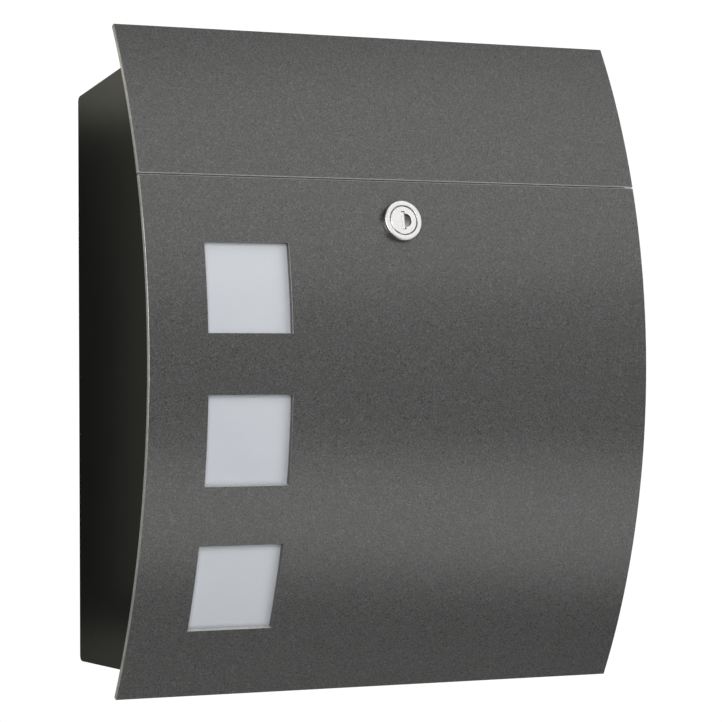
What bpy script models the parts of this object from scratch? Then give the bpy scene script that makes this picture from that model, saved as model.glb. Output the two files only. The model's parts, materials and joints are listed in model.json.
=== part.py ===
"""Wall mounted mailbox: a sheet metal box behind a curved front plate.

Metres. X runs to the right for someone in front of the box, -Y comes out of the
front and Z is up. The wall is the plane Y = 0, and Z = 0 is half way up the front.

The front plate is a flat sheet bent to an arc round a horizontal line, and one seam
divides it. The upper piece is the insert flap, hung on a rod under the roof. The
lower piece is the door, hung on a rod above the floor. It carries the lock and three
square windows. Places on the front are given as an arc length up from Z = 0, along
the outer face, and a depth behind that face.
"""

import math

import bmesh
import bpy
from mathutils import Matrix, Vector

MM = 0.001
GAP = 0.3 * MM  # air left between pieces that touch

# Front plate
FRONT_WIDTH = 335 * MM
FRONT_HEIGHT = 400 * MM
FRONT_RADIUS = 400 * MM
FRONT_THICK = 3 * MM
FRONT_EDGE_Y = -69.1 * MM  # where its top and bottom edges stand
SEAM_ARC = 110.3 * MM
SEAM_GAP = 0.8 * MM
FRONT_STEP = 6 * MM  # longest straight run along the arc

# Box behind it
BODY_WIDTH = 327 * MM
BODY_SHEET = 1.5 * MM
BODY_BEND = 3.5 * MM
FLOOR_Z = -182.4 * MM
ROOF_BACK_Z = 162.6 * MM
ROOF_FRONT_Z = 175.1 * MM
SIDE_DEPTH = 3.8 * MM  # front edge of the side panels, behind the outer face
EDGE_SETBACK = 1 * MM  # roof and floor stop this far short of the side panels' edge
WALL_HOLES = [(-125, 130), (125, 130), (-125, -145), (125, -145)]
WALL_HOLE_RADIUS = 3.5 * MM
DRAIN_HOLES_X = [-110, 110]
DRAIN_HOLE_Y = -40 * MM
DRAIN_HOLE_RADIUS = 2.5 * MM

# Hinges
ROD_RADIUS = 2 * MM
ROD_HALF_LENGTH = 154.5 * MM
PIVOT_DEPTH = 17 * MM
PIVOT_ARCS = {"flap": 180.1 * MM, "door": -190.9 * MM}
EYE_RADIUS = 4.3 * MM
ARM_INNER_X = 144 * MM
ARM_SHEET = 2.5 * MM
ARM_PAD_WIDTH = 16 * MM
ARM_PAD_THICK = 2 * MM
NECK_REACH = 14.2 * MM
NECK_HALF_ANGLE = 9
NECK_ANGLES = {"flap": -54, "door": 72}  # degrees above straight out of the front
PAD_ARCS = {"flap": (132 * MM, 160 * MM), "door": (-165 * MM, -130 * MM)}
LUG_INNER_X = 148 * MM
LUG_SHEET = 2 * MM
LUG_LENGTH = 22 * MM
LUG_FLANGE_WIDTH = 12 * MM
LUG_FLANGE_START = 6 * MM
CAP_INNER_X = 151.5 * MM
CAP_RADIUS = 4.2 * MM
CAP_THICK = 1 * MM
CAP_DISH = 0.8 * MM

# Rail between the insert slot and the door
RAIL_SHEET = 1.5 * MM
RAIL_DEPTH = 5.8 * MM
RAIL_ARCS = (100.5 * MM, 121.5 * MM)
RAIL_BACK_DEPTH = 17.5 * MM
RAIL_BACK_REACH = (17.5 * MM, 37.5 * MM)  # above the lock's axis
RAIL_BEND = 2.5 * MM
BUMPER_X = 120 * MM
BUMPER_ARCS = {"door": 104.5 * MM, "flap": 116.5 * MM}
BUMPER_RADIUS = 4 * MM
BUMPER_NECK_RADIUS = 2.2 * MM
BUMPER_BULB_RADIUS = 3 * MM

# Windows
WINDOW_LEFT_X = -FRONT_WIDTH / 2 + 37.5 * MM
WINDOW_SIDE = 54 * MM
WINDOW_RIGHT_X = WINDOW_LEFT_X + WINDOW_SIDE
WINDOW_CENTRES = [43 * MM, -47 * MM, -137 * MM]
SEAL_SPAN = (3.3 * MM, 4.7 * MM)  # depths
PANE_SPAN = (5 * MM, 8 * MM)
SEAL_SHOW = 2 * MM
PANE_X = (WINDOW_LEFT_X - 10.5 * MM, WINDOW_RIGHT_X + 10.5 * MM)
PANE_ARCS = (-176 * MM, 82 * MM)
STUD_X = [WINDOW_LEFT_X - 5.3 * MM, WINDOW_RIGHT_X + 5.3 * MM]
STUD_ARCS = [76 * MM, -47 * MM, -170 * MM]
STUD_RADIUS = 2 * MM
STUD_END = 14.2 * MM
STUD_ROOT = 2 * MM  # how deep in the plate each stud starts
PANE_WASHER_RADIUS = 4.4 * MM
PANE_NUT_HALF_FLAT = 3.5 * MM
PANE_NUT_THICK = 3 * MM
WASHER_THICK = 0.8 * MM

# Lock, on its own axis square to the front, with heights out from the outer face
LOCK_ARC = 84.3 * MM
LOCK_RING_RADIUS = 12.45 * MM
LOCK_PROUD = 4.3 * MM
LOCK_BARREL_RADIUS = 9.4 * MM
LOCK_BARREL_END = -18.4 * MM
LOCK_RIM_CHAMFER = 0.5 * MM
LOCK_WASHER_RADIUS = 13 * MM
LOCK_NUT_HALF_FLAT = 11.5 * MM
LOCK_NUT_THICK = 3.5 * MM
PLUG_FACE_RADIUS = 8.85 * MM
PLUG_FACE = 4.1 * MM
PLUG_CHAMFER = 0.4 * MM
PLUG_SHANK_RADIUS = 6.5 * MM
PLUG_STEP = 2.2 * MM  # where the face disc narrows to the shank
PLUG_SHANK_END = -18.7 * MM
KEY_SLOT = (2.4 * MM, 11.2 * MM, 13 * MM)  # width, height, depth
SCOOP = (4.1 * MM, 4.0 * MM, 1.2 * MM)  # half height, width, depth of the D beside the slot
SHUTTER = (1.8 * MM, 10.6 * MM, 2.4 * MM)
SHUTTER_SET_BACK = 0.6 * MM
DRIVE_SQUARE = 8 * MM
CAM_SPAN = (-21 * MM, -19 * MM)
CAM_REACH = 33 * MM
CAM_HALF_WIDTH = 7 * MM
CAM_HUB_RADIUS = 8 * MM
CAM_WASHER_RADIUS = 6.5 * MM
CAM_SCREW_RADIUS = 2 * MM
CAM_SCREW_HEAD_RADIUS = 4.2 * MM
CAM_SCREW_HEAD_THICK = 2.6 * MM
CAM_SCREW_REACH = 6 * MM

ARC_CENTRE_Y = FRONT_EDGE_Y + math.sqrt(FRONT_RADIUS**2 - FRONT_HEIGHT**2 / 4)
FRONT_END_ARC = FRONT_RADIUS * math.asin(FRONT_HEIGHT / 2 / FRONT_RADIUS)


# Places on the curved front


def arc_point(arc, depth=0.0):
    """(y, z) of a place on the front, given as arc length and depth."""
    angle = arc / FRONT_RADIUS
    radius = FRONT_RADIUS - depth
    return Vector((ARC_CENTRE_Y - radius * math.cos(angle), radius * math.sin(angle)))


def arc_at_height(z, depth):
    return FRONT_RADIUS * math.asin(z / (FRONT_RADIUS - depth))


def steps_between(low, high, longest):
    """Evenly spaced values from low to high, no further apart than longest."""
    count = max(1, math.ceil(abs(high - low) / longest - 1e-9))
    return [low + (high - low) * i / count for i in range(count + 1)]


def arc_points(arc_low, arc_high, depth):
    return [arc_point(arc, depth) for arc in steps_between(arc_low, arc_high, FRONT_STEP)]


def front_frame(x, arc):
    """Matrix at a place on the outer face: local Z out of the front, local Y up along it."""
    angle = arc / FRONT_RADIUS
    y, z = arc_point(arc)
    up = Vector((0, math.sin(angle), math.cos(angle)))
    out = Vector((0, -math.cos(angle), math.sin(angle)))
    turn = Matrix((Vector((1, 0, 0)), up, out)).transposed().to_4x4()
    return Matrix.Translation((x, y, z)) @ turn


def lock_point(reach, depth):
    """(y, z) of a place above the lock's axis and behind its face."""
    place = front_frame(0, LOCK_ARC) @ Vector((0, reach, -depth))
    return Vector((place.y, place.z))


def polar(centre, reach, degrees):
    """(y, z) at an angle above straight out of the front."""
    angle = math.radians(degrees)
    return Vector((centre.x - reach * math.cos(angle), centre.y + reach * math.sin(angle)))


def turned_about(centre, radius, first, last, count):
    return [polar(centre, radius, first + (last - first) * i / count) for i in range(count + 1)]


# Outlines


def rounded(points, radius, steps=4):
    """The path with each inner corner turned into an arc."""
    path = [points[0]]
    for before, corner, after in zip(points, points[1:], points[2:]):
        back = (before - corner).normalized()
        ahead = (after - corner).normalized()
        half = back.angle(ahead) / 2
        centre = corner + (back + ahead).normalized() * radius / math.sin(half)
        start = corner + back * radius / math.tan(half) - centre
        sweep = start.angle_signed(corner + ahead * radius / math.tan(half) - centre)
        for i in range(steps + 1):
            turned = start.copy()
            turned.rotate(Matrix.Rotation(-sweep * i / steps, 2))
            path.append(centre + turned)
    path.append(points[-1])
    return path


def beside(path, distance):
    """The path moved sideways, to its left where distance is positive."""
    runs = [b - a for a, b in zip(path, path[1:])]
    normals = [Vector((-run.y, run.x)).normalized() for run in runs]
    moved = []
    for i, point in enumerate(path):
        first, last = normals[max(i - 1, 0)], normals[min(i, len(normals) - 1)]
        mean = (first + last).normalized()
        moved.append(point + mean * distance / mean.dot(first))
    return moved


def sheet_outline(corners, bend, thickness):
    """Closed outline of a folded sheet whose left side, or right if negative, is the inner one."""
    path = rounded(corners, bend)
    return path + beside(path, thickness)[::-1]


# Meshes


def node(name, bm, surface, frame=None):
    """An object holding this mesh, facing out, with smooth round faces."""
    bmesh.ops.recalc_face_normals(bm, faces=bm.faces)
    mesh = bpy.data.meshes.new(name)
    bm.to_mesh(mesh)
    bm.free()
    mesh.materials.append(surface)
    mesh.shade_smooth()
    mesh.set_sharp_from_angle(angle=math.radians(30))
    obj = bpy.data.objects.new(name, mesh)
    bpy.context.scene.collection.objects.link(obj)
    if frame is not None:
        obj.matrix_world = frame
    return obj


def extruded(bm, rings):
    """Closes the space between two rings of points with the same count."""
    near, far = ([bm.verts.new(point) for point in ring] for ring in rings)
    bm.faces.new(near)
    bm.faces.new(far)
    for i, vert in enumerate(near):
        bm.faces.new((near[i - 1], vert, far[i], far[i - 1]))


def bar(name, outline, x_low, x_high, surface):
    """A (y, z) outline drawn out along X."""
    bm = bmesh.new()
    extruded(bm, [[(x, p.x, p.y) for p in outline] for x in (x_low, x_high)])
    return node(name, bm, surface)


def prism(name, outline, z_low, z_high, surface, frame):
    """An (x, y) outline drawn out along the frame's Z."""
    bm = bmesh.new()
    extruded(bm, [[(x, y, z) for x, y in outline] for z in (z_low, z_high)])
    return node(name, bm, surface, frame)


def turned(name, profile, surface, frame, segments=32, ring=False):
    """(radius, height) points turned round the frame's Z. A ring's profile is closed."""
    bm = bmesh.new()
    verts = [bm.verts.new((radius, 0, z)) for radius, z in profile]
    ends = list(zip(verts, verts[1:])) + ([(verts[-1], verts[0])] if ring else [])
    edges = [bm.edges.new(pair) for pair in ends]
    bmesh.ops.spin(
        bm, geom=verts + edges, axis=(0, 0, 1), cent=(0, 0, 0), angle=math.tau, steps=segments
    )
    bmesh.ops.remove_doubles(bm, verts=bm.verts, dist=1e-6)
    return node(name, bm, surface, frame)


def curved_sheet(name, x_edges, arc_edges, depths, is_open, surface):
    """A sheet that follows the front, with is_open(x, arc) true inside its openings."""
    bm = bmesh.new()
    grid = [
        [bm.verts.new((x, *arc_point(arc, depths[0]))) for arc in arc_edges] for x in x_edges
    ]
    for i, (x0, x1) in enumerate(zip(x_edges, x_edges[1:])):
        for j, (arc0, arc1) in enumerate(zip(arc_edges, arc_edges[1:])):
            if not is_open((x0 + x1) / 2, (arc0 + arc1) / 2):
                bm.faces.new((grid[i][j], grid[i + 1][j], grid[i + 1][j + 1], grid[i][j + 1]))
    grown = bmesh.ops.extrude_face_region(bm, geom=bm.faces[:])["geom"]
    shrink = (FRONT_RADIUS - depths[1]) / (FRONT_RADIUS - depths[0])
    for vert in grown:
        if isinstance(vert, bmesh.types.BMVert):
            vert.co.y = ARC_CENTRE_Y + (vert.co.y - ARC_CENTRE_Y) * shrink
            vert.co.z *= shrink
    bmesh.ops.delete(bm, geom=[v for v in bm.verts if not v.link_faces], context="VERTS")
    return node(name, bm, surface)


def boolean(target, tool, operation):
    modifier = target.modifiers.new(tool.name, "BOOLEAN")
    modifier.operation = operation
    modifier.object = tool
    modifier.solver = "EXACT"
    tool.hide_render = True
    tool.display_type = "WIRE"


def cut(target, tool):
    boolean(target, tool, "DIFFERENCE")


def join(target, tool):
    boolean(target, tool, "UNION")


def hang(obj, pivot):
    """Parents a piece to an empty on its joint's axis, where it already is."""
    obj.parent = pivot
    obj.matrix_parent_inverse = pivot.matrix_basis.inverted()


def empty_at(name, frame):
    pivot = bpy.data.objects.new(name, None)
    bpy.context.scene.collection.objects.link(pivot)
    pivot.matrix_world = frame
    return pivot


# Finishes


def finish(name, colour, roughness, metallic):
    surface = bpy.data.materials.new(name)
    surface.use_nodes = True
    shader = surface.node_tree.nodes["Principled BSDF"]
    shader.inputs["Base Color"].default_value = (*colour, 1)
    shader.inputs["Roughness"].default_value = roughness
    shader.inputs["Metallic"].default_value = metallic
    surface.diffuse_color = (*colour, 1)
    return surface


def finishes():
    return {
        "front": finish("front_paint", (0.115, 0.115, 0.112), 0.45, 0.6),
        "body": finish("body_paint", (0.03, 0.03, 0.028), 0.4, 0.0),
        "zinc": finish("zinc_plate", (0.55, 0.56, 0.57), 0.4, 1.0),
        "nickel": finish("satin_nickel", (0.8, 0.79, 0.77), 0.25, 1.0),
        "acrylic": finish("satin_acrylic", (0.8, 0.82, 0.85), 0.35, 0.0),
        "rubber": finish("black_rubber", (0.02, 0.02, 0.02), 0.8, 0.0),
    }


# Fixed box


def roof_front():
    return arc_point(arc_at_height(ROOF_FRONT_Z, SIDE_DEPTH), SIDE_DEPTH)


def floor_front():
    return arc_point(arc_at_height(FLOOR_Z, SIDE_DEPTH), SIDE_DEPTH)


def body_corners(setback):
    """Outer corners of the box from the floor's front edge to the roof's, going round the back."""
    floor_back = Vector((0, FLOOR_Z))
    roof_back = Vector((0, ROOF_BACK_Z))
    along_roof = (roof_front() - roof_back).normalized()
    return [
        floor_front() + Vector((setback, 0)),
        floor_back,
        roof_back,
        roof_front() - along_roof * setback,
    ]


def body_shell(surface):
    """Roof, back and floor, folded from one sheet."""
    outline = sheet_outline(body_corners(EDGE_SETBACK), BODY_BEND, BODY_SHEET)
    half = BODY_WIDTH / 2 - BODY_SHEET - GAP
    shell = bar("body_shell", outline, -half, half, surface)
    for i, (x, z) in enumerate(WALL_HOLES):
        facing_wall = Matrix.Translation((x * MM, 0, z * MM)) @ Matrix.Rotation(math.pi / 2, 4, "X")
        cut(shell, drill(f"wall_hole_{i}", WALL_HOLE_RADIUS, 5 * MM, facing_wall, surface))
    for i, x in enumerate(DRAIN_HOLES_X):
        frame = Matrix.Translation((x * MM, DRAIN_HOLE_Y, FLOOR_Z))
        cut(shell, drill(f"drain_hole_{i}", DRAIN_HOLE_RADIUS, 5 * MM, frame, surface))


def drill(name, radius, reach, frame, surface):
    """A cutter for a round hole through the frame's origin, along its Z."""
    ends = [(0, reach), (radius, reach), (radius, -reach), (0, -reach)]
    return turned(name, ends, surface, frame, segments=24)


def side_panel(name, side, surface):
    """A flat sheet whose front edge follows the curved front."""
    back = rounded(body_corners(0), BODY_BEND)
    top = arc_at_height(ROOF_FRONT_Z, SIDE_DEPTH)
    bottom = arc_at_height(FLOOR_Z, SIDE_DEPTH)
    front = arc_points(top, bottom, SIDE_DEPTH)[1:-1]
    x = side * BODY_WIDTH / 2
    bar(name, back + front, x, x - side * BODY_SHEET, surface)


def slot_rail(surface):
    """The channel between insert slot and door, which the lock's cam turns up behind."""
    corners = [
        arc_point(RAIL_ARCS[0], RAIL_DEPTH),
        arc_point(RAIL_ARCS[1], RAIL_DEPTH),
        lock_point(RAIL_BACK_REACH[1], RAIL_BACK_DEPTH),
        lock_point(RAIL_BACK_REACH[0], RAIL_BACK_DEPTH),
    ]
    half = BODY_WIDTH / 2 - BODY_SHEET - GAP
    outline = sheet_outline(corners, RAIL_BEND, -RAIL_SHEET)
    return bar("slot_rail", outline, -half, half, surface)


def bumper(name, rail, x, arc, surface):
    """A rubber button pushed into a hole in the rail. The front plate closes on it."""
    head = -(FRONT_THICK + GAP)
    seat = -(RAIL_DEPTH - GAP)
    back = -(RAIL_DEPTH + RAIL_SHEET + GAP)
    end = back - BUMPER_NECK_RADIUS
    soften = BUMPER_RADIUS / 5
    profile = [
        (0, head),
        (BUMPER_RADIUS - soften, head),
        (BUMPER_RADIUS, head - soften),
        (BUMPER_RADIUS, seat),
        (BUMPER_NECK_RADIUS, seat),
        (BUMPER_NECK_RADIUS, back),
        (BUMPER_BULB_RADIUS, back),
        (BUMPER_BULB_RADIUS / 2, end),
        (0, end),
    ]
    frame = front_frame(x, arc)
    turned(name, profile, surface, frame, segments=20)
    behind = frame @ Matrix.Translation((0, 0, -RAIL_DEPTH))
    cut(rail, drill(f"{name}_hole", BUMPER_NECK_RADIUS + GAP, 4 * MM, behind, surface))


def axis_along_x(x, pivot):
    """A frame whose Z runs along X, through a (y, z) place."""
    return Matrix.Translation((x, pivot.x, pivot.y)) @ Matrix.Rotation(math.pi / 2, 4, "Y")


def hinge_rod(name, pivot, surface):
    chamfer = ROD_RADIUS / 4
    profile = [
        (0, ROD_HALF_LENGTH),
        (ROD_RADIUS - chamfer, ROD_HALF_LENGTH),
        (ROD_RADIUS, ROD_HALF_LENGTH - chamfer),
        (ROD_RADIUS, chamfer - ROD_HALF_LENGTH),
        (ROD_RADIUS - chamfer, -ROD_HALF_LENGTH),
        (0, -ROD_HALF_LENGTH),
    ]
    turned(name, profile, surface, axis_along_x(0, pivot), segments=24)


def rod_cap(name, side, pivot, surface):
    """A dished ring pressed on the rod's end, outside its lug."""
    hole = ROD_RADIUS + GAP
    profile = [
        (hole, CAP_THICK + CAP_DISH),
        (CAP_RADIUS - CAP_DISH, CAP_THICK),
        (CAP_RADIUS, CAP_THICK),
        (CAP_RADIUS, 0),
        (hole, 0),
    ]
    frame = axis_along_x(side * CAP_INNER_X, pivot)
    if side < 0:
        frame = frame @ Matrix.Rotation(math.pi, 4, "Y")
    turned(name, profile, surface, frame, segments=24, ring=True)


def hinge_lug(name, side, pivot, wall_point, wall_direction, surface):
    """A plate that carries the rod, folded to a flange along the roof or the floor.

    wall_point and wall_direction give the sheet's outer face, pointing to the wall.
    """
    square = Vector((-wall_direction.y, wall_direction.x))
    if (wall_point - pivot).dot(square) < 0:
        square = -square
    top = (wall_point - pivot).dot(square) - BODY_SHEET - GAP

    def place(along, towards):
        return pivot + wall_direction * along + square * towards

    nose = [
        place(-EYE_RADIUS * math.sin(angle), EYE_RADIUS * math.cos(angle))
        for angle in (math.pi * i / 10 for i in range(11))
    ]
    inside = LUG_SHEET / 2  # the plate ends within the flange
    plate = nose + [
        place(LUG_LENGTH - inside, -EYE_RADIUS),
        place(LUG_LENGTH - inside, top - inside),
        place(LUG_FLANGE_START + inside, top - inside),
    ]
    flange = [
        place(LUG_FLANGE_START, top - LUG_SHEET),
        place(LUG_LENGTH, top - LUG_SHEET),
        place(LUG_LENGTH, top),
        place(LUG_FLANGE_START, top),
    ]
    inner, outer = side * LUG_INNER_X, side * (LUG_INNER_X + LUG_SHEET)
    lug = bar(name, plate, inner, outer, surface)
    start = inner + side * LUG_SHEET / 4
    end = start + side * LUG_FLANGE_WIDTH
    join(lug, bar(f"{name}_flange", flange, start, end, surface))
    cut(lug, drill(f"{name}_eye", ROD_RADIUS + GAP, 5 * MM, axis_along_x(outer, pivot), surface))


def fixed_box(look):
    body_shell(look["body"])
    side_panel("side_panel_left", -1, look["body"])
    side_panel("side_panel_right", 1, look["body"])
    rail = slot_rail(look["body"])
    for side, word in ((-1, "left"), (1, "right")):
        for part, arc in BUMPER_ARCS.items():
            bumper(f"{part}_bumper_{word}", rail, side * BUMPER_X, arc, look["rubber"])
    roof_back = Vector((0, ROOF_BACK_Z))
    to_wall = (roof_back - roof_front()).normalized()
    walls = {"flap": (roof_back, to_wall), "door": (Vector((0, FLOOR_Z)), Vector((1, 0)))}
    for part, (wall_point, wall_direction) in walls.items():
        pivot = arc_point(PIVOT_ARCS[part], PIVOT_DEPTH)
        hinge_rod(f"{part}_hinge_rod", pivot, look["zinc"])
        for side, word in ((-1, "left"), (1, "right")):
            lug = f"{part}_hinge_lug_{word}"
            hinge_lug(lug, side, pivot, wall_point, wall_direction, look["body"])
            rod_cap(f"{part}_rod_cap_{word}", side, pivot, look["zinc"])


# Pieces that the flap and the door share


def hinge_arm(part, side, pivot, surface):
    """A goose-neck arm: an eye on the rod, a neck past the box's edge and a pad on the plate."""
    name = f"{part}_hinge_arm_{'left' if side < 0 else 'right'}"
    neck_angle, pad_arcs = NECK_ANGLES[part], PAD_ARCS[part]
    back = turned_about(pivot, EYE_RADIUS, neck_angle + 90, neck_angle + 270, 12)
    seat = FRONT_THICK + GAP
    on_plate = arc_points(pad_arcs[0], pad_arcs[1], seat)
    low = polar(pivot, NECK_REACH, neck_angle - NECK_HALF_ANGLE)
    high = polar(pivot, NECK_REACH, neck_angle + NECK_HALF_ANGLE)
    outline = back + [low, *on_plate, high]
    inner, outer = side * ARM_INNER_X, side * (ARM_INNER_X + ARM_SHEET)
    arm = bar(name, outline, inner, outer, surface)
    pad = on_plate + arc_points(pad_arcs[1], pad_arcs[0], seat + ARM_PAD_THICK)
    join(arm, bar(f"{name}_pad", pad, inner, inner + side * ARM_PAD_WIDTH, surface))
    cut(arm, drill(f"{name}_eye", ROD_RADIUS + GAP, 5 * MM, axis_along_x(inner, pivot), surface))
    return arm


def front_panel(name, arc_low, arc_high, x_edges, arc_edges, is_open, surface):
    """A piece of the front plate, cut at the given edges as well as its own."""
    arcs = []
    for low, high in zip([arc_low, *arc_edges], [*arc_edges, arc_high]):
        arcs += steps_between(low, high, FRONT_STEP)[:-1]
    half = FRONT_WIDTH / 2
    edges = [-half, *x_edges, half]
    return curved_sheet(name, edges, arcs + [arc_high], (0, FRONT_THICK), is_open, surface)


# Insert flap


def insert_flap(look):
    pivot = arc_point(PIVOT_ARCS["flap"], PIVOT_DEPTH)
    axis = empty_at("flap_axis", Matrix.Translation((0, pivot.x, pivot.y)))
    low = SEAM_ARC + SEAM_GAP / 2
    panel = front_panel("insert_flap", low, FRONT_END_ARC, [], [], never, look["front"])
    hang(panel, axis)
    for side in (-1, 1):
        hang(hinge_arm("flap", side, pivot, look["body"]), axis)


def never(x, arc):
    return False


# Door


def window_edges(margin):
    """X edges, and arc edges from the bottom up, of the windows grown by a margin."""
    half = WINDOW_SIDE / 2 + margin
    arcs = sorted(edge for centre in WINDOW_CENTRES for edge in (centre - half, centre + half))
    return [WINDOW_LEFT_X - margin, WINDOW_RIGHT_X + margin], arcs


def in_window(margin):
    """A test that says whether a place is inside a window grown by a margin."""
    (x_low, x_high), _ = window_edges(margin)
    half = WINDOW_SIDE / 2 + margin

    def test(x, arc):
        return x_low < x < x_high and any(abs(arc - centre) < half for centre in WINDOW_CENTRES)

    return test


def stud_places():
    return [(x, arc) for arc in STUD_ARCS for x in STUD_X]


def door_panel(surface):
    """The lower front plate, with its windows, lock hole and welded studs."""
    x_edges, arc_edges = window_edges(0)
    high = SEAM_ARC - SEAM_GAP / 2
    test = in_window(0)
    panel = front_panel("door_panel", -FRONT_END_ARC, high, x_edges, arc_edges, test, surface)
    for i, (x, arc) in enumerate(stud_places()):
        shape = [
            (0, -STUD_ROOT),
            (STUD_RADIUS, -STUD_ROOT),
            (STUD_RADIUS, -STUD_END),
            (0, -STUD_END),
        ]
        join(panel, turned(f"stud_{i}", shape, surface, front_frame(x, arc), segments=16))
    hole = LOCK_BARREL_RADIUS + GAP
    cut(panel, drill("lock_hole", hole, 8 * MM, front_frame(0, LOCK_ARC), surface))
    return panel


def backing(name, span, edges, is_open, surface):
    """A sheet behind the windows, with holes for the studs."""
    x_edges, arc_edges = edges
    arcs = []
    for low, high in zip([PANE_ARCS[0], *arc_edges], [*arc_edges, PANE_ARCS[1]]):
        arcs += steps_between(low, high, FRONT_STEP)[:-1]
    xs = [PANE_X[0], *x_edges, PANE_X[1]]
    sheet = curved_sheet(name, xs, arcs + [PANE_ARCS[1]], span, is_open, surface)
    for i, (x, arc) in enumerate(stud_places()):
        frame = front_frame(x, arc) @ Matrix.Translation((0, 0, -span[0]))
        cut(sheet, drill(f"{name}_hole_{i}", STUD_RADIUS + GAP, 6 * MM, frame, surface))
    return sheet


def pane_fastener(number, x, arc, surface):
    """A washer and a nut on one stud."""
    frame = front_frame(x, arc)
    hole = STUD_RADIUS + GAP
    front = -(PANE_SPAN[1] + GAP)
    washer_name, nut_name = f"pane_washer_{number}", f"pane_nut_{number}"
    washer = flat_washer(washer_name, hole, PANE_WASHER_RADIUS, front, surface, frame)
    under = front - WASHER_THICK - GAP
    span = (under - PANE_NUT_THICK, under)
    return [washer, hex_nut(nut_name, PANE_NUT_HALF_FLAT, hole, span, surface, frame)]


def flat_washer(name, hole, rim, front, surface, frame):
    back = front - WASHER_THICK
    profile = [(hole, front), (rim, front), (rim, back), (hole, back)]
    return turned(name, profile, surface, frame, ring=True)


def hex_nut(name, half_flat, hole, span, surface, frame):
    low, high = span
    nut = prism(name, hexagon(half_flat / math.cos(math.pi / 6)), low, high, surface, frame)
    middle = frame @ Matrix.Translation((0, 0, (low + high) / 2))
    cut(nut, drill(f"{name}_hole", hole, high - low, middle, surface))
    return nut


def hexagon(corner):
    turns = [math.pi / 3 * i for i in range(6)]
    return [(corner * math.cos(a), corner * math.sin(a)) for a in turns]


def lock_housing(surface, frame):
    """The ring that stands proud of the door, and the barrel behind it."""
    rim = LOCK_RING_RADIUS
    mouth = PLUG_FACE_RADIUS + GAP
    bore = PLUG_SHANK_RADIUS + GAP
    soften = LOCK_RIM_CHAMFER
    step = PLUG_STEP - GAP
    profile = [
        (rim, GAP),
        (rim, LOCK_PROUD - soften),
        (rim - soften, LOCK_PROUD),
        (mouth + soften, LOCK_PROUD),
        (mouth, LOCK_PROUD - soften),
        (mouth, step),
        (bore, step),
        (bore, LOCK_BARREL_END),
        (LOCK_BARREL_RADIUS, LOCK_BARREL_END),
        (LOCK_BARREL_RADIUS, GAP),
    ]
    return turned("lock_housing", profile, surface, frame, segments=48, ring=True)


def lock_fasteners(surface, frame):
    """The washer and the nut that clamp the lock's barrel to the door."""
    hole = LOCK_BARREL_RADIUS + GAP
    front = -(FRONT_THICK + GAP)
    washer = flat_washer("lock_washer", hole, LOCK_WASHER_RADIUS, front, surface, frame)
    under = front - WASHER_THICK - GAP
    span = (under - LOCK_NUT_THICK, under)
    return [washer, hex_nut("lock_nut", LOCK_NUT_HALF_FLAT, hole, span, surface, frame)]


def door(look):
    pivot = arc_point(PIVOT_ARCS["door"], PIVOT_DEPTH)
    axis = empty_at("door_axis", Matrix.Translation((0, pivot.x, pivot.y)))
    lock = front_frame(0, LOCK_ARC)
    seal_edges, seal_open = window_edges(SEAL_SHOW), in_window(SEAL_SHOW)
    pieces = [
        door_panel(look["front"]),
        backing("window_seal", SEAL_SPAN, seal_edges, seal_open, look["rubber"]),
        backing("window_pane", PANE_SPAN, ([], []), never, look["acrylic"]),
        lock_housing(look["nickel"], lock),
        *lock_fasteners(look["zinc"], lock),
    ]
    for number, (x, arc) in enumerate(stud_places(), start=1):
        pieces += pane_fastener(number, x, arc, look["zinc"])
    for side in (-1, 1):
        pieces.append(hinge_arm("door", side, pivot, look["body"]))
    for piece in pieces:
        hang(piece, axis)
    return axis


# What turns in the lock


def lock_plug(surface, frame):
    """The turning cylinder: face disc, shank and square drive, slotted for the key."""
    chamfer = PLUG_CHAMFER
    profile = [
        (0, PLUG_FACE),
        (PLUG_FACE_RADIUS - chamfer, PLUG_FACE),
        (PLUG_FACE_RADIUS, PLUG_FACE - chamfer),
        (PLUG_FACE_RADIUS, PLUG_STEP),
        (PLUG_SHANK_RADIUS, PLUG_STEP),
        (PLUG_SHANK_RADIUS, PLUG_SHANK_END),
        (0, PLUG_SHANK_END),
    ]
    plug = turned("lock_plug", profile, surface, frame, segments=48)
    drive_end = CAM_SPAN[0] + 0.2 * MM
    square = rectangle(DRIVE_SQUARE / 2, DRIVE_SQUARE / 2)
    join(plug, prism("plug_drive", square, drive_end, PLUG_SHANK_END + 2 * MM, surface, frame))
    width, height, depth = KEY_SLOT
    slot = rectangle(width / 2, height / 2)
    top = PLUG_FACE + 1 * MM
    cut(plug, prism("key_slot", slot, PLUG_FACE - depth, top, surface, frame))
    half_height, reach, sunk = SCOOP
    curve = [math.pi * i / 12 - math.pi / 2 for i in range(13)]
    d_shape = [(width / 4, -half_height), (width / 4, half_height)]
    d_shape += [
        (width / 2 + reach * math.cos(a), half_height * math.sin(a)) for a in reversed(curve)
    ]
    cut(plug, prism("key_scoop", d_shape, PLUG_FACE - sunk, top, surface, frame))
    screw_hole = frame @ Matrix.Translation((0, 0, drive_end))
    cut(plug, drill("cam_screw_hole", CAM_SCREW_RADIUS + GAP, 8 * MM, screw_hole, surface))
    return plug


def rectangle(half_width, half_height):
    w, h = half_width, half_height
    return [(-w, -h), (w, -h), (w, h), (-w, h)]


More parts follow.
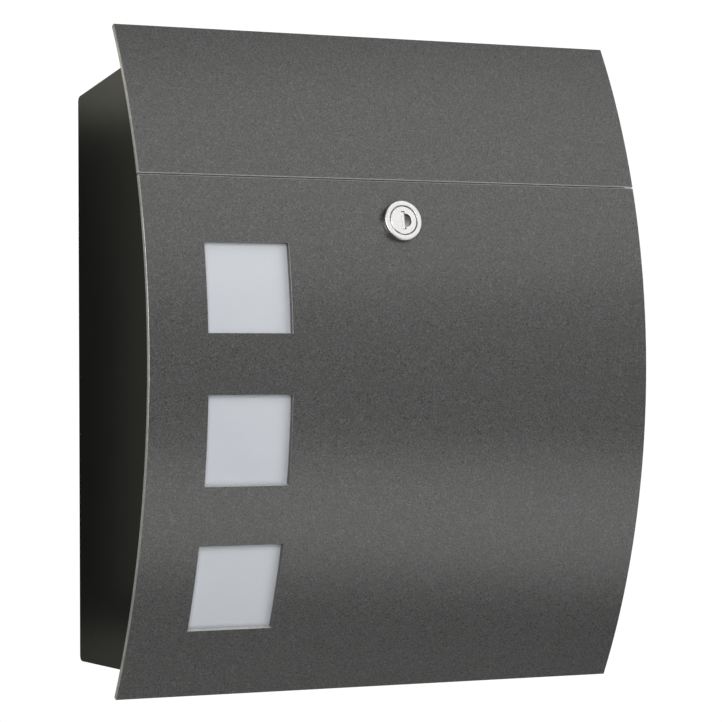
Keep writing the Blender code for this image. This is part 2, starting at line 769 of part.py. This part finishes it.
def lock_cam(surface, frame):
    """A flat tongue on the plug's square. At rest it lies sideways, clear of the rail."""
    half, hub = CAM_HALF_WIDTH, CAM_HUB_RADIUS
    tip = CAM_REACH - half
    turns = [math.pi * i / 12 - math.pi / 2 for i in range(13)]
    outline = [(tip + half * math.cos(a), half * math.sin(a)) for a in turns]
    outline += [(-hub * math.cos(a), -hub * math.sin(a)) for a in turns]
    cam = prism("lock_cam", outline, *CAM_SPAN, surface, frame)
    square = rectangle(DRIVE_SQUARE / 2 + GAP, DRIVE_SQUARE / 2 + GAP)
    low, high = CAM_SPAN[0] - 2 * MM, CAM_SPAN[1] + 2 * MM
    cut(cam, prism("cam_square", square, low, high, surface, frame))
    return cam


def cam_screw(surface, frame):
    """The screw and washer that hold the cam on its square."""
    hole = CAM_SCREW_RADIUS + GAP
    front = CAM_SPAN[0] - GAP
    washer = flat_washer("cam_washer", hole, CAM_WASHER_RADIUS, front, surface, frame)
    under = front - WASHER_THICK - GAP
    end = under - CAM_SCREW_HEAD_THICK
    tip = CAM_SPAN[0] + CAM_SCREW_REACH
    head = CAM_SCREW_HEAD_RADIUS
    soften = CAM_SCREW_HEAD_THICK / 4
    profile = [
        (0, tip),
        (CAM_SCREW_RADIUS, tip),
        (CAM_SCREW_RADIUS, under),
        (head, under),
        (head, end + soften),
        (head - soften, end),
        (0, end),
    ]
    screw = turned("cam_screw", profile, surface, frame, segments=24)
    socket_end = end + CAM_SCREW_HEAD_THICK / 2
    socket = prism("screw_socket", hexagon(head / 2), end - 1 * MM, socket_end, surface, frame)
    cut(screw, socket)
    return [washer, screw]


def key_shutter(surface, frame):
    """The sprung bar that closes the key slot and slides in ahead of the key."""
    width, height, thick = SHUTTER
    top = PLUG_FACE - SHUTTER_SET_BACK
    return prism("key_shutter", rectangle(width / 2, height / 2), top - thick, top, surface, frame)


def turning_lock(look, door_axis):
    frame = front_frame(0, LOCK_ARC)
    axis = empty_at("lock_axis", frame)
    hang(axis, door_axis)
    slide = empty_at("shutter_axis", frame)
    hang(slide, axis)
    hang(lock_plug(look["nickel"], frame), axis)
    hang(lock_cam(look["zinc"], frame), axis)
    for piece in cam_screw(look["zinc"], frame):
        hang(piece, axis)
    hang(key_shutter(look["nickel"], frame), slide)


def main():
    for obj in list(bpy.data.objects):
        bpy.data.objects.remove(obj)
    look = finishes()
    fixed_box(look)
    insert_flap(look)
    turning_lock(look, door(look))


main()
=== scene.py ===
"""Looks of a wall mounted mailbox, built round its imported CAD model.

Metres, in the CAD frame: X to the right, -Y out of the front, Z up. The front is part of
a cylinder round a line along X, and the lock stands square to it.
"""

import json
import math

import bmesh
import bpy
from mathutils import Euler, Matrix, Vector

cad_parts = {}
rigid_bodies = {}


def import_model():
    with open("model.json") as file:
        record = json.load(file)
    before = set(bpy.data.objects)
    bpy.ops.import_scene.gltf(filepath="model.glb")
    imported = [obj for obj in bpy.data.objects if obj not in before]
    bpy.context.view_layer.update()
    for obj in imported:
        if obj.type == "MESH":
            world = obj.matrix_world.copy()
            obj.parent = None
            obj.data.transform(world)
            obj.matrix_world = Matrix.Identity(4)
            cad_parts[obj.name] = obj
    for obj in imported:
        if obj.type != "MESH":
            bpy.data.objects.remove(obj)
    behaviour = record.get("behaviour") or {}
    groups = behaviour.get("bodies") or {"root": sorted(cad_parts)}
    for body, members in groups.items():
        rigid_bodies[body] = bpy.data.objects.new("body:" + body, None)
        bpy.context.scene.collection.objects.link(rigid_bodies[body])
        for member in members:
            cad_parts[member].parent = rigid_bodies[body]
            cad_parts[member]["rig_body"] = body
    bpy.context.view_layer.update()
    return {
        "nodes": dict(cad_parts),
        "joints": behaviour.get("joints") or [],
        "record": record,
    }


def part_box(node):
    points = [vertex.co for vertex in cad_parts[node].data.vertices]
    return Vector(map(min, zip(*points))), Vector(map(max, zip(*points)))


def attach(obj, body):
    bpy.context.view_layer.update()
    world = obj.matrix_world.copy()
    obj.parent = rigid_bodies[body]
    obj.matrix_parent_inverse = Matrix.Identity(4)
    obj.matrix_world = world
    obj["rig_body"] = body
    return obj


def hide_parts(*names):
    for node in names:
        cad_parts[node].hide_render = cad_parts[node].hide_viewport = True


MM = 0.001

# Front plates
FRONT_RADIUS = 400 * MM
PLATE_ROUND = 0.35 * MM
PLATE_SHORTEST = 2.9 * MM  # shorter edges, as round the lock hole, stay sharp
STUD_RADIUS = 2 * MM
STUD_PITCH = 0.7 * MM
STUD_FROM = 3.2 * MM  # depths behind the outer face
STUD_TO = 14.2 * MM
COLLAR_DEPTH = 3.4 * MM
OUTER_FROM = 160 * MM  # the plates' outer sides are further out than this
TOP_FROM = 190 * MM
SEAM_Z = 109 * MM
SEAM_ZONE = 4 * MM
CUT_SIDE_HIGHLIGHT = 1.0  # how much each kind of edge is lightened: painted highlight on the plates' cut sides, their rounded edges and the window sills facing up
CUT_ROUND_HIGHLIGHT = 0.5
SILL_HIGHLIGHT = 0.8
OTHER_ROUND_HIGHLIGHT = 0.12

# Widths of the other nodes' rounded edges
SMALL_ROUND = 0.15 * MM
SHORTEST_EDGE = 0.3 * MM
EDGE_WIDTHS = {
    "side_panel_left": 0.3 * MM,
    "side_panel_right": 0.3 * MM,
    "body_shell": 0.3 * MM,
    "slot_rail": 0.3 * MM,
    "key_shutter": 0.2 * MM,
}

# Lock housing, with heights out from the plate's outer face
RING_RADIUS = 12.45 * MM
RING_PROUD = 4.3 * MM
RING_ROUND = 0.8 * MM
MOUTH_RADIUS = 9.15 * MM
MOUTH_ROUND = 0.35 * MM
MOUTH_STEP = 1.9 * MM
BORE_RADIUS = 6.8 * MM
BARREL_RADIUS = 9.4 * MM
BARREL_FROM = -3.3 * MM
BARREL_END = -18.4 * MM
BARREL_PITCH = 1 * MM

# The hollow beside the key slot
SCOOP_FLOOR = 2.8 * MM
SCOOP_TOP = 3.9 * MM
SCOOP_FROM = 1.3 * MM
SCOOP_TO = 5.5 * MM

# Studio
FLOOR_DROP = 3  # how far the floor is below the middle of the box
FLOOR_RADIUS = 1.2
BOX_MIDDLE = (0, -0.06, 0)
LEFT_SIDE_X = -0.1635
WHITE = (1, 1, 1)
WARM = (1, 1, 0.82)

# Camera
CAMERA_PLACE = (-0.81664, -1.7085, -0.01641)
CAMERA_LENS = 148.32
CAMERA_PITCH = 0.524
CAMERA_TURN = -26.34
CAMERA_ROLL = -0.252


# Shader graphs


class Graph:
    """A material's nodes, made one after another."""

    def __init__(self, name):
        self.material = bpy.data.materials.new(name)
        self.material.use_nodes = True
        self.tree = self.material.node_tree
        self.shader = self.tree.nodes["Principled BSDF"]
        self.place = self.node("ShaderNodeTexCoord").outputs["Object"]

    def node(self, kind, **settings):
        made = self.tree.nodes.new(kind)
        for key, value in settings.items():
            setattr(made, key, value)
        return made

    def wire(self, source, target):
        self.tree.links.new(source, target)

    def noise(self, scale, detail=2.0, roughness=0.5, place=None):
        made = self.node("ShaderNodeTexNoise")
        made.inputs["Scale"].default_value = scale
        made.inputs["Detail"].default_value = detail
        made.inputs["Roughness"].default_value = roughness
        self.wire(place or self.place, made.inputs["Vector"])
        return made.outputs["Fac"]

    def cells(self, scale):
        """A random number for each small cell."""
        made = self.node("ShaderNodeTexVoronoi")
        made.inputs["Scale"].default_value = scale
        self.wire(self.place, made.inputs["Vector"])
        split = self.node("ShaderNodeSeparateColor")
        self.wire(made.outputs["Color"], split.inputs["Color"])
        return split.outputs["Red"]

    def ramp(self, value, low, high, from_low=0.0, from_high=1.0):
        """The value moved from one range to another, and held there."""
        made = self.node("ShaderNodeMapRange")
        made.inputs["From Min"].default_value = from_low
        made.inputs["From Max"].default_value = from_high
        made.inputs["To Min"].default_value = low
        made.inputs["To Max"].default_value = high
        self.wire(value, made.inputs["Value"])
        return made.outputs["Result"]

    def maths(self, operation, first, second):
        made = self.node("ShaderNodeMath", operation=operation)
        for socket, value in zip(made.inputs, (first, second)):
            if isinstance(value, (int, float)):
                socket.default_value = value
            else:
                self.wire(value, socket)
        return made.outputs["Value"]

    def blend(self, amount, low, high):
        """A colour between low and high, each a colour or another node's output."""
        made = self.node("ShaderNodeMix", data_type="RGBA")
        self.wire(amount, made.inputs["Factor"])
        for socket, value in ((made.inputs["A"], low), (made.inputs["B"], high)):
            self.give(socket, value)
        return made.outputs["Result"]

    def give(self, socket, value):
        if isinstance(value, tuple):
            socket.default_value = (*value, 1)
        else:
            self.wire(value, socket)

    def edge(self, low=0.0, high=1.0):
        """How far a place is on a rounded edge, broken up by noise; the materials lighten these
        places as edge wear and as painted highlight.
        """
        made = self.node("ShaderNodeAttribute", attribute_name="edge")
        broken = self.ramp(self.noise(180, 4), low, high, 0.35, 0.65)
        return self.maths("MULTIPLY", made.outputs["Fac"], broken)

    def bump(self, height, distance, strength=1.0, below=None):
        made = self.node("ShaderNodeBump")
        made.inputs["Strength"].default_value = strength
        made.inputs["Distance"].default_value = distance
        self.wire(height, made.inputs["Height"])
        if below is not None:
            self.wire(below, made.inputs["Normal"])
        return made.outputs["Normal"]

    def done(self, colour, roughness, normal, **constants):
        self.give(self.shader.inputs["Base Color"], colour)
        self.wire(roughness, self.shader.inputs["Roughness"])
        self.wire(normal, self.shader.inputs["Normal"])
        for name, value in constants.items():
            self.shader.inputs[name.replace("_", " ")].default_value = value
        return self.material


def front_paint():
    """Fine textured dark grey powder coat with metal flakes."""
    g = Graph("front_paint")
    grain = g.noise(1250, 1, 0.5)
    cloud = g.noise(22, 3)
    flakes = g.ramp(g.cells(1400), 0, 0.26, 0.7, 1.0)
    mottle = g.ramp(grain, 0, 1, 0.3, 0.7)
    dark = g.blend(mottle, (0.072, 0.071, 0.0695), (0.131, 0.130, 0.1285))
    tinted = g.blend(g.ramp(cloud, 0, 0.15), dark, (0.097, 0.094, 0.090))
    flecked = g.blend(flakes, tinted, (0.33, 0.33, 0.328))
    # painted highlight: the marked rounded edges and cut sides are lightened towards a pale warm
    # grey
    colour = g.blend(g.edge(0.85, 1.0), flecked, (0.82, 0.80, 0.77))
    roughness = g.ramp(grain, 0.26, 0.38, 0.3, 0.7)
    coarse = g.bump(g.noise(420, 2), 0.04 * MM, 0.4)
    normal = g.bump(grain, 0.02 * MM, 0.4, coarse)
    return g.done(colour, roughness, normal, Metallic=0.55)


def body_paint():
    """Smooth near-black powder coat, with slight orange peel and a trace of dust."""
    g = Graph("body_paint")
    peel = g.noise(330, 2)
    dust = g.noise(9, 4, 0.6)
    dusted = g.ramp(dust, 0, 1, 0.35, 0.75)
    base = g.blend(dusted, (0.0050, 0.0051, 0.0040), (0.0092, 0.0093, 0.0078))
    # rounded edges lightened: edge wear and painted highlight
    colour = g.blend(g.edge(0.1, 0.6), base, (0.05, 0.05, 0.048))
    roughness = g.ramp(dust, 0.28, 0.33, 0.35, 0.75)
    normal = g.bump(peel, 0.05 * MM, 0.5)
    return g.done(colour, roughness, normal, Metallic=0.0)


def zinc():
    """Bright zinc plate on pressed steel."""
    g = Graph("zinc_plate")
    cloud = g.noise(260, 3)
    fine = g.noise(1800, 2)
    base = g.blend(g.ramp(cloud, 0, 1, 0.35, 0.65), (0.47, 0.48, 0.50), (0.62, 0.62, 0.60))
    # rounded edges lightened: edge wear and painted highlight
    colour = g.blend(g.edge(0.2, 0.9), base, (0.75, 0.75, 0.75))
    roughness = g.ramp(fine, 0.30, 0.46, 0.3, 0.7)
    normal = g.bump(fine, 0.02 * MM, 0.5)
    return g.done(colour, roughness, normal, Metallic=1.0)


def nickel(lock):
    """Satin nickel plate with fine marks from turning, round the lock's axis."""
    g = Graph("satin_nickel")
    to_lock = lock.inverted().to_euler()
    turn = g.node("ShaderNodeVectorRotate", rotation_type="EULER_XYZ")
    turn.inputs["Center"].default_value = lock.translation
    turn.inputs["Rotation"].default_value = to_lock
    g.wire(g.place, turn.inputs["Vector"])
    level = g.node("ShaderNodeVectorMath", operation="SUBTRACT")
    level.inputs[1].default_value = lock.translation
    g.wire(turn.outputs["Vector"], level.inputs[0])
    split = g.node("ShaderNodeSeparateXYZ")
    g.wire(level.outputs["Vector"], split.inputs["Vector"])
    flat = g.node("ShaderNodeCombineXYZ")
    g.wire(split.outputs["X"], flat.inputs["X"])
    g.wire(split.outputs["Y"], flat.inputs["Y"])
    reach = g.node("ShaderNodeVectorMath", operation="LENGTH")
    g.wire(flat.outputs["Vector"], reach.inputs[0])
    rings = g.node("ShaderNodeTexNoise", noise_dimensions="1D")
    rings.inputs["Scale"].default_value = 9000
    g.wire(reach.outputs["Value"], rings.inputs["W"])
    cloud = g.noise(350, 3)
    plated = g.blend(g.ramp(cloud, 0, 1, 0.3, 0.7), (0.76, 0.75, 0.735), (0.81, 0.805, 0.79))
    # painted shade for the scoop and the ring's side: darkest where the lock's Y is above 1 mm,
    # lighter below -3.5 mm
    low = g.ramp(split.outputs["Y"], 0, 1, 1 * MM, -3.5 * MM)
    painted_shade_colour = g.blend(low, (0.10, 0.10, 0.095), (0.34, 0.335, 0.32))
    painted_shade = g.node("ShaderNodeAttribute", attribute_name="painted_shade")
    colour = g.blend(painted_shade.outputs["Fac"], plated, painted_shade_colour)
    roughness = g.ramp(rings.outputs["Fac"], 0.26, 0.42, 0.3, 0.7)
    normal = g.bump(rings.outputs["Fac"], 0.006 * MM, 0.5)
    return g.done(colour, roughness, normal, Metallic=1.0)


def acrylic():
    """White translucent sheet with a satin face."""
    g = Graph("satin_acrylic")
    cloud = g.noise(14, 2)
    fine = g.noise(900, 2)
    colour = g.blend(g.ramp(cloud, 0, 1, 0.3, 0.7), (0.61, 0.635, 0.675), (0.65, 0.67, 0.70))
    roughness = g.ramp(fine, 0.34, 0.44, 0.3, 0.7)
    normal = g.bump(fine, 0.01 * MM, 0.3)
    inside = {"Subsurface Weight": 0.8, "Subsurface Radius": (1, 1, 1), "Subsurface Scale": 3 * MM}
    for name, value in inside.items():
        g.shader.inputs[name].default_value = value
    return g.done(colour, roughness, normal, Metallic=0.0)


def rubber():
    """Matt black moulded rubber."""
    g = Graph("black_rubber")
    fine = g.noise(1400, 3)
    cloud = g.noise(120, 3)
    colour = g.blend(g.ramp(cloud, 0, 1, 0.3, 0.7), (0.012, 0.012, 0.012), (0.026, 0.026, 0.025))
    roughness = g.ramp(fine, 0.7, 0.9, 0.3, 0.7)
    normal = g.bump(fine, 0.03 * MM, 0.5)
    return g.done(colour, roughness, normal, Metallic=0.0)


def floor_plaster():
    """Pale plain floor."""
    g = Graph("pale_floor")
    cloud = g.noise(2.5, 4)
    fine = g.noise(160, 3)
    colour = g.blend(g.ramp(cloud, 0, 1, 0.3, 0.7), (0.76, 0.76, 0.75), (0.80, 0.80, 0.79))
    roughness = g.ramp(fine, 0.75, 0.9, 0.3, 0.7)
    return g.done(colour, roughness, g.bump(fine, 0.2 * MM, 0.3), Metallic=0.0)


# Meshes


def show(name, bm, surface, body, frame=None):
    """A new piece with smooth faces, shaded by its larger ones, riding on a body."""
    bmesh.ops.recalc_face_normals(bm, faces=bm.faces)
    if frame is not None:
        bm.transform(frame)
    mesh = bpy.data.meshes.new(name)
    bm.to_mesh(mesh)
    bm.free()
    mesh.materials.append(surface)
    mesh.shade_smooth()
    mesh.set_sharp_from_angle(angle=math.radians(50))
    obj = bpy.data.objects.new(name, mesh)
    bpy.context.scene.collection.objects.link(obj)
    weighted = obj.modifiers.new("weighted", "WEIGHTED_NORMAL")
    weighted.keep_sharp = True
    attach(obj, body)
    return obj


def welded(node):
    """The CAD solid with its flat faces whole again."""
    bm = bmesh.new()
    bm.from_mesh(node.data)
    bmesh.ops.remove_doubles(bm, verts=bm.verts, dist=1e-6)
    bmesh.ops.dissolve_limit(
        bm, angle_limit=math.radians(0.3), verts=bm.verts, edges=bm.edges
    )
    return bm


def soften(bm, width, shortest, segments=3):
    """Rounds the sharp edges and marks the rounded faces, which the materials lighten as edge wear
    and painted highlight.
    """
    wear_and_highlight = bm.faces.layers.float.new("edge")
    sharp = [
        edge
        for edge in bm.edges
        if len(edge.link_faces) == 2
        and edge.calc_face_angle() > math.radians(30)
        and edge.calc_length() > shortest
    ]
    made = bmesh.ops.bevel(
        bm,
        geom=sharp,
        offset=width,
        offset_type="OFFSET",
        segments=segments,
        profile=0.5,
        affect="EDGES",
        clamp_overlap=True,
    )
    for face in made["faces"]:
        face[wear_and_highlight] = 1.0


def refined(name, surface, width, shortest=SHORTEST_EDGE):
    """The CAD node's own shape with rounded edges and this surface, in the node's place."""
    node = CAD["nodes"][name]
    bm = welded(node)
    is_plate = name in ("door_panel", "insert_flap")
    if is_plate:
        flatten_studs(bm)
    soften(bm, width, shortest)
    if is_plate:
        mark_cut_sides(bm)
    if name == "lock_plug":
        mark_scoop(bm)
    piece = show(f"{name}_finished", bm, surface, node["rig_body"])
    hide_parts(name)
    return piece


def from_axis(place):
    """The way from the line that the front is bent round to a place."""
    return Vector((0, place.y - AXIS_Y, place.z))


def flatten_studs(bm):
    """Shortens the door plate's studs to low weld collars."""
    for vert in bm.verts:
        out = from_axis(vert.co)
        if FRONT_RADIUS - out.length > COLLAR_DEPTH:
            out *= (FRONT_RADIUS - COLLAR_DEPTH) / out.length
            vert.co.y = AXIS_Y + out.y
            vert.co.z = out.z


def mark_cut_sides(bm):
    """Marks a front plate's outer cut sides and its window sills facing up for a strong painted
    highlight, and its other rounded edges for a faint one.
    """
    wear_and_highlight = bm.faces.layers.float["edge"]
    for face in bm.faces:
        centre = face.calc_center_median()
        out = from_axis(centre).normalized()
        is_cut = abs(face.normal.dot(out)) < 0.5
        at_side = abs(centre.x) > OUTER_FROM
        at_end = abs(centre.z) > TOP_FROM
        at_seam = abs(centre.z - SEAM_Z) < SEAM_ZONE
        if at_side or at_end or at_seam:
            face[wear_and_highlight] = CUT_SIDE_HIGHLIGHT if is_cut else CUT_ROUND_HIGHLIGHT * face[wear_and_highlight]
        elif is_cut and face.normal.z > 0.5:
            face[wear_and_highlight] = SILL_HIGHLIGHT
        else:
            face[wear_and_highlight] = OTHER_ROUND_HIGHLIGHT * face[wear_and_highlight]


def mark_scoop(bm):
    """Marks the milled hollow beside the key slot, which the lock's material paints dark as painted
    shade.
    """
    painted_shade = bm.faces.layers.float.new("painted_shade")
    to_lock = LOCK.inverted()
    for face in bm.faces:
        centre = to_lock @ face.calc_center_median()
        if SCOOP_FLOOR < centre.z < SCOOP_TOP and SCOOP_FROM < centre.x < SCOOP_TO:
            face[painted_shade] = 1.0


def around(radius, turn, height):
    """A place round Z, with the turn given as a share of a whole one."""
    angle = turn * math.tau
    return (radius * math.cos(angle), radius * math.sin(angle), height)


def thread(bm, radius, pitch, low, high, segments, bore=0.0):
    """A rod along Z with a helical thread, with a plain bore where one is given."""
    depth = pitch * 0.35
    rows = max(4, math.ceil((high - low) / (pitch / 6)))
    rings = []
    for row in range(rows + 1):
        z = low + (high - low) * row / rows
        fade = min(1.0, row / 4, (rows - row) / 4)
        ring = []
        for i in range(segments):
            turn = i / segments
            wave = abs(2 * ((z / pitch - turn) % 1.0) - 1)
            r = radius - depth * (1 - wave) * fade - depth * (1 - fade)
            ring.append(bm.verts.new(around(r, turn, z)))
        rings.append(ring)
    for lower, upper in zip(rings, rings[1:]):
        for i in range(segments):
            bm.faces.new((lower[i - 1], lower[i], upper[i], upper[i - 1]))
    if not bore:
        bm.faces.new(rings[0])
        bm.faces.new(rings[-1])
        return
    inner = []
    for ring in (rings[0], rings[-1]):
        z = ring[0].co.z
        inner.append([bm.verts.new(around(bore, i / segments, z)) for i in range(segments)])
    for outer, hole in zip((rings[0], rings[-1]), inner):
        for i in range(segments):
            bm.faces.new((outer[i - 1], outer[i], hole[i], hole[i - 1]))
    for i in range(segments):
        bm.faces.new((inner[0][i - 1], inner[0][i], inner[1][i], inner[1][i - 1]))


def mark_ring_side(bm):
    """Marks the lock ring's side, which the lock's material paints darker as painted shade."""
    painted_shade = bm.faces.layers.float.new("painted_shade")
    bm.normal_update()
    for face in bm.faces:
        reach = face.calc_center_median().xy.length
        if abs(face.normal.z) < 0.3 and reach > RING_RADIUS - 0.3 * MM:
            face[painted_shade] = 0.75


def rounded_corner(centre, radius, first, last, steps=6):
    """Points of an arc in a turned profile, by angle from straight out sideways."""
    angles = [math.radians(first + (last - first) * i / steps) for i in range(steps + 1)]
    return [(centre[0] + radius * math.cos(a), centre[1] + radius * math.sin(a)) for a in angles]


def turned(bm, profile, segments):
    """A closed (radius, height) profile turned round Z."""
    rings = [
        [bm.verts.new(around(r, i / segments, z)) for i in range(segments)]
        for r, z in profile
    ]
    for lower, upper in zip(rings, rings[1:] + rings[:1]):
        for i in range(segments):
            bm.faces.new((lower[i - 1], lower[i], upper[i], upper[i - 1]))


def lock_housing(surface):
    """The proud ring with its rounded rim, and the threaded barrel behind the door."""
    crown = 0.12 * MM
    profile = [(RING_RADIUS - 0.15 * MM, 0.3 * MM), (RING_RADIUS, 0.5 * MM)]
    corner = (RING_RADIUS - RING_ROUND, RING_PROUD - RING_ROUND - crown)
    profile += rounded_corner(corner, RING_ROUND, 0, 82)
    middle = (RING_RADIUS + MOUTH_RADIUS) / 2 - 0.3 * MM
    profile.append((middle, RING_PROUD))
    corner = (MOUTH_RADIUS + MOUTH_ROUND, RING_PROUD - MOUTH_ROUND - crown)
    profile += rounded_corner(corner, MOUTH_ROUND, 100, 180, 4)
    profile += [
        (MOUTH_RADIUS, MOUTH_STEP),
        (BORE_RADIUS, MOUTH_STEP),
        (BORE_RADIUS, BARREL_FROM),
        (BARREL_RADIUS, BARREL_FROM),
        (BARREL_RADIUS, 0.3 * MM),
    ]
    bm = bmesh.new()
    turned(bm, profile, 96)
    mark_ring_side(bm)
    ring = show("lock_housing_ring", bm, surface, "door", LOCK)
    bm = bmesh.new()
    thread(bm, BARREL_RADIUS, BARREL_PITCH, BARREL_END, BARREL_FROM - 0.02 * MM, 64, BORE_RADIUS)
    barrel = show("lock_housing_barrel", bm, surface, "door", LOCK)
    for piece in (ring, barrel):
        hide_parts("lock_housing")


def stud_frames():
    """Frames at the studs, from their washers' boxes, with Z out of the front."""
    frames = []
    for number in range(1, 7):
        low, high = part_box(f"pane_washer_{number}")
        middle = (low + high) / 2
        out = from_axis(middle).normalized()
        up = out.cross(Vector((1, 0, 0)))
        turn = Matrix((Vector((1, 0, 0)), up, out)).transposed().to_4x4()
        place = Vector((middle.x, AXIS_Y, 0)) + out * FRONT_RADIUS
        frames.append(Matrix.Translation(place) @ turn)
    return frames


def threaded_studs(surface):
    for number, frame in enumerate(stud_frames(), start=1):
        bm = bmesh.new()
        thread(bm, STUD_RADIUS, STUD_PITCH, -STUD_TO, -STUD_FROM, 20)
        stud = show(f"pane_stud_{number}", bm, surface, "door", frame)


# Studio


def world_light():
    """White where the camera sees it, and a dimmer even fill for everything else."""
    world = bpy.data.worlds.new("studio")
    bpy.context.scene.world = world
    world.use_nodes = True
    tree = world.node_tree
    tree.nodes.clear()
    fill = tree.nodes.new("ShaderNodeBackground")
    fill.inputs["Color"].default_value = (0.96, 0.98, 1.0, 1)
    fill.inputs["Strength"].default_value = 0.03
    seen = tree.nodes.new("ShaderNodeBackground")
    seen.inputs["Color"].default_value = (1, 1, 1, 1)
    seen.inputs["Strength"].default_value = 1.05
    path = tree.nodes.new("ShaderNodeLightPath")
    mix = tree.nodes.new("ShaderNodeMixShader")
    out = tree.nodes.new("ShaderNodeOutputWorld")
    tree.links.new(path.outputs["Is Camera Ray"], mix.inputs["Fac"])
    tree.links.new(fill.outputs["Background"], mix.inputs[1])
    tree.links.new(seen.outputs["Background"], mix.inputs[2])
    tree.links.new(mix.outputs["Shader"], out.inputs["Surface"])


def softbox(name, azimuth, elevation, distance, size, power, target=BOX_MIDDLE, tint=WHITE):
    """An area light seen from the target at these angles; azimuth 0 is straight in front."""
    light = bpy.data.lights.new(name, "AREA")
    light.shape = "RECTANGLE"
    light.size, light.size_y = size
    light.energy = power
    light.color = tint
    obj = bpy.data.objects.new(name, light)
    bpy.context.scene.collection.objects.link(obj)
    turn, rise = math.radians(azimuth), math.radians(elevation)
    level = math.cos(rise)
    away = Vector((math.sin(turn) * level, -math.cos(turn) * level, math.sin(rise)))
    obj.location = Vector(target) + away * distance
    obj.rotation_euler = away.to_track_quat("Z", "Y").to_euler()
    obj.visible_camera = False


def floor_light():
    """Light straight down on the floor, from below the box."""
    light = bpy.data.lights.new("floor_light", "AREA")
    light.size = 2
    light.energy = 36
    obj = bpy.data.objects.new("floor_light", light)
    bpy.context.scene.collection.objects.link(obj)
    obj.location = (0, 0, -FLOOR_DROP / 2)
    obj.visible_camera = False


def studio_floor(surface):
    """A round pale floor below the box."""
    bm = bmesh.new()
    bmesh.ops.create_circle(bm, cap_ends=True, radius=FLOOR_RADIUS, segments=128)
    mesh = bpy.data.meshes.new("studio_floor")
    bm.to_mesh(mesh)
    bm.free()
    mesh.materials.append(surface)
    obj = bpy.data.objects.new("studio_floor", mesh)
    bpy.context.scene.collection.objects.link(obj)
    obj.location = (0, 0, -FLOOR_DROP)


def camera():
    data = bpy.data.cameras.new("camera")
    data.sensor_width = 36
    data.lens = CAMERA_LENS
    data.clip_end = 20
    obj = bpy.data.objects.new("camera", data)
    bpy.context.scene.collection.objects.link(obj)
    aim = Euler((math.radians(90 + CAMERA_PITCH), 0, math.radians(CAMERA_TURN)))
    turn = aim.to_matrix().to_4x4()
    roll = Matrix.Rotation(math.radians(CAMERA_ROLL), 4, "Z")
    obj.matrix_world = Matrix.Translation(CAMERA_PLACE) @ turn @ roll
    bpy.context.scene.camera = obj


def lights():
    """A large light beside the camera, softboxes mirrored in the front, and fills all round."""
    softbox("front_light", -26, 10, 2.4, (1.0, 1.4), 40)
    softbox("upper_softbox", 34, 35, 1.7, (1.4, 1.24), 6.6)
    softbox("lower_softbox", 29, -28, 1.7, (1.4, 0.7), 4.3)
    softbox("ground_softbox", 34, -62, 1.7, (1.4, 0.8), 1.5)
    softbox("top_softbox", 34, 63, 1.7, (1.4, 0.5), 1.6)
    softbox("middle_softbox", 34, 4, 1.7, (1.4, 0.8), 1.7)
    high, middle, low = ((LEFT_SIDE_X, y, z) for y, z in ((-0.06, 0.14), (-0.08, 0), (-0.06, -0.15)))
    softbox("side_high", -157, 12, 0.3, (0.06, 0.06), 0.012, high, WARM)
    softbox("side_low", -157, -12, 0.3, (0.06, 0.06), 0.004, low, WARM)
    softbox("side_middle", -150, 0, 0.16, (0.03, 0.3), 0.008, middle, WARM)
    softbox("right_fill", 108, 15, 1.8, (0.8, 1.2), 14)
    softbox("rear_fill", 152, 0, 1.3, (0.9, 0.9), 9)
    softbox("left_fill", -95, 12, 1.8, (0.8, 1.2), 5)


def lock_frame():
    """The lock's place, with Z along its axis and Y up along the front."""
    joint = next(j for j in CAD["joints"] if j["name"] == "lock_turn")
    out = Vector(joint["axis"]).normalized()
    up = out.cross(Vector((1, 0, 0)))
    turn = Matrix((Vector((1, 0, 0)), up, out)).transposed().to_4x4()
    return Matrix.Translation(joint["pos_m"]) @ turn


def dress():
    grey, black, plated = front_paint(), body_paint(), zinc()
    bright, pane, soft = nickel(LOCK), acrylic(), rubber()
    looks = {
        "front_paint": grey,
        "body_paint": black,
        "zinc_steel": plated,
        "satin_nickel": bright,
        "satin_acrylic": pane,
        "black_rubber": soft,
    }
    refined("insert_flap", grey, PLATE_ROUND, PLATE_SHORTEST)
    refined("door_panel", grey, PLATE_ROUND, PLATE_SHORTEST)
    threaded_studs(plated)
    lock_housing(bright)
    done = {"insert_flap", "door_panel", "lock_housing"}
    for name, slot in SLOTS.items():
        if name not in done:
            refined(name, looks[slot], EDGE_WIDTHS.get(name, SMALL_ROUND))


bpy.context.scene.view_settings.view_transform = "Standard"
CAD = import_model()
SLOTS = {part["node"]: part["material_slot"] for part in CAD["record"]["subparts"]}
AXIS_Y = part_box("door_panel")[0].y + FRONT_RADIUS
LOCK = lock_frame()

dress()
world_light()
lights()
floor_light()
studio_floor(floor_plaster())
camera()
